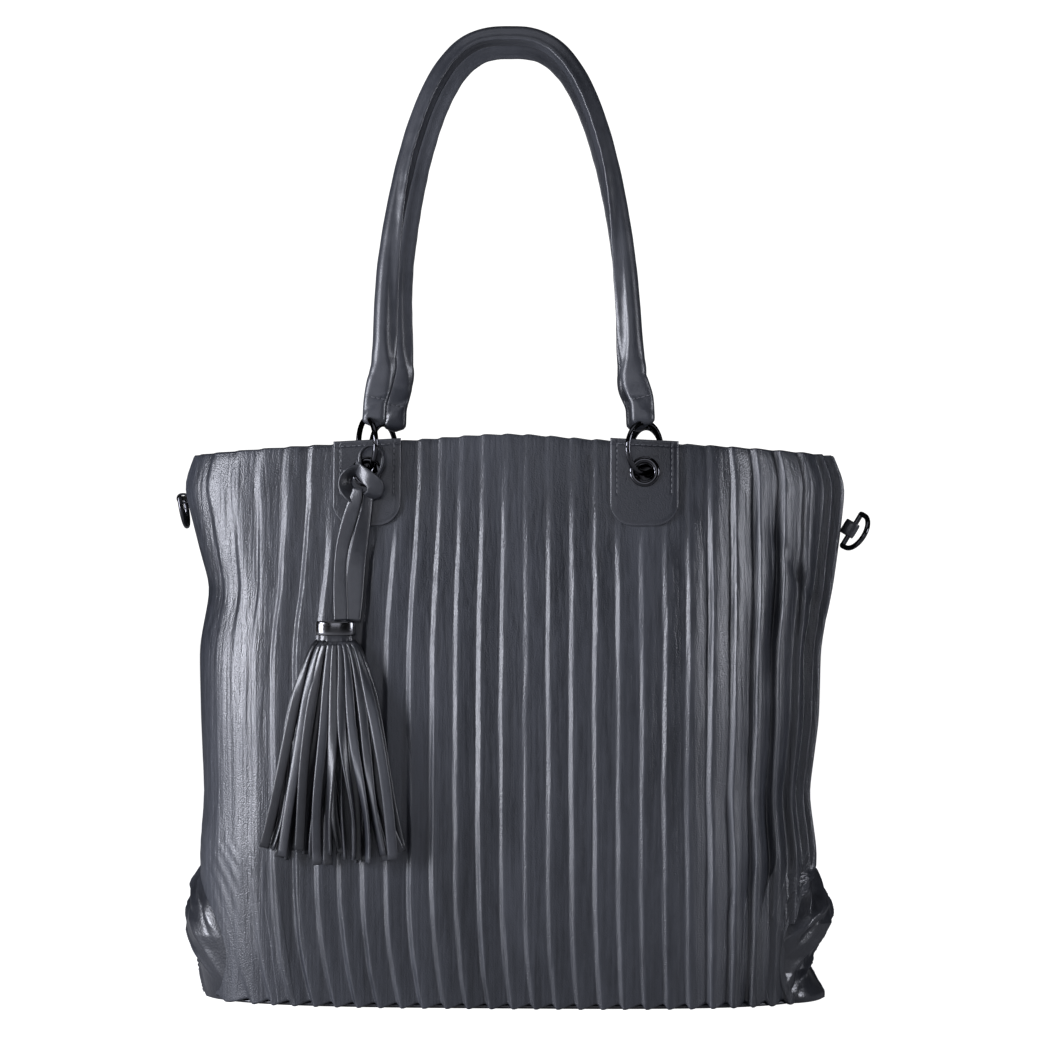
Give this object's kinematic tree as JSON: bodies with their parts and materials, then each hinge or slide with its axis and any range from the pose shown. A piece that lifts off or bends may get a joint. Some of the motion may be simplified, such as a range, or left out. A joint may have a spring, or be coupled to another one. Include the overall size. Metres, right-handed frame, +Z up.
{
  "type": "pleated tote bag",
  "caption": "Open-topped pleated leather tote with puffed side gussets, tube handles on metal rings, a strip tassel and rings at its sides.",
  "frame": {"origin": "centre of the base's underside, at the height of the floor the bag stands on", "axes": "+X to the right seen from the front, +Y from the front to the back, +Z up to the handles"},
  "size_m": [0.418, 0.1543, 0.5827],
  "materials": {
    "pleated_leather": "semi-gloss fine grain, slate grey",
    "trim_leather": "semi-gloss smooth, near black",
    "gunmetal": "polished black gunmetal"
  },
  "bodies": {
    "bag_body": {"pleated_shell": "pleated_leather", "handle_front": "pleated_leather", "handle_back": "pleated_leather", "gusset_left": "trim_leather", "gusset_right": "trim_leather", "base_panel": "trim_leather", "tab_front_left": "trim_leather", "tab_front_right": "trim_leather", "tab_back_left": "trim_leather", "tab_back_right": "trim_leather", "side_keeper_left": "trim_leather", "side_keeper_right": "trim_leather", "tassel_strap": "trim_leather", "tassel": "trim_leather", "eyelet_front_left": "gunmetal", "eyelet_front_right": "gunmetal", "eyelet_back_left": "gunmetal", "eyelet_back_right": "gunmetal", "handle_ring_front_left": "gunmetal", "handle_ring_front_right": "gunmetal", "handle_ring_back_left": "gunmetal", "handle_ring_back_right": "gunmetal", "tassel_collar": "gunmetal"},
    "left_side_ring": {"side_ring_left": "gunmetal"},
    "right_side_ring": {"side_ring_right": "gunmetal"}
  },
  "joints": [
    {"name": "left_ring_swing", "type": "hinge", "parent": "bag_body", "child": "left_side_ring", "pos_m": [-0.19897, 0, 0.2985], "axis": [0, 1, 0], "range_deg": [-8, 160]},
    {"name": "right_ring_swing", "type": "hinge", "parent": "bag_body", "child": "right_side_ring", "pos_m": [0.20552, 0, 0.2795], "axis": [0.515, 0, 0.8572], "range_deg": [-20, 150]}
  ]
}
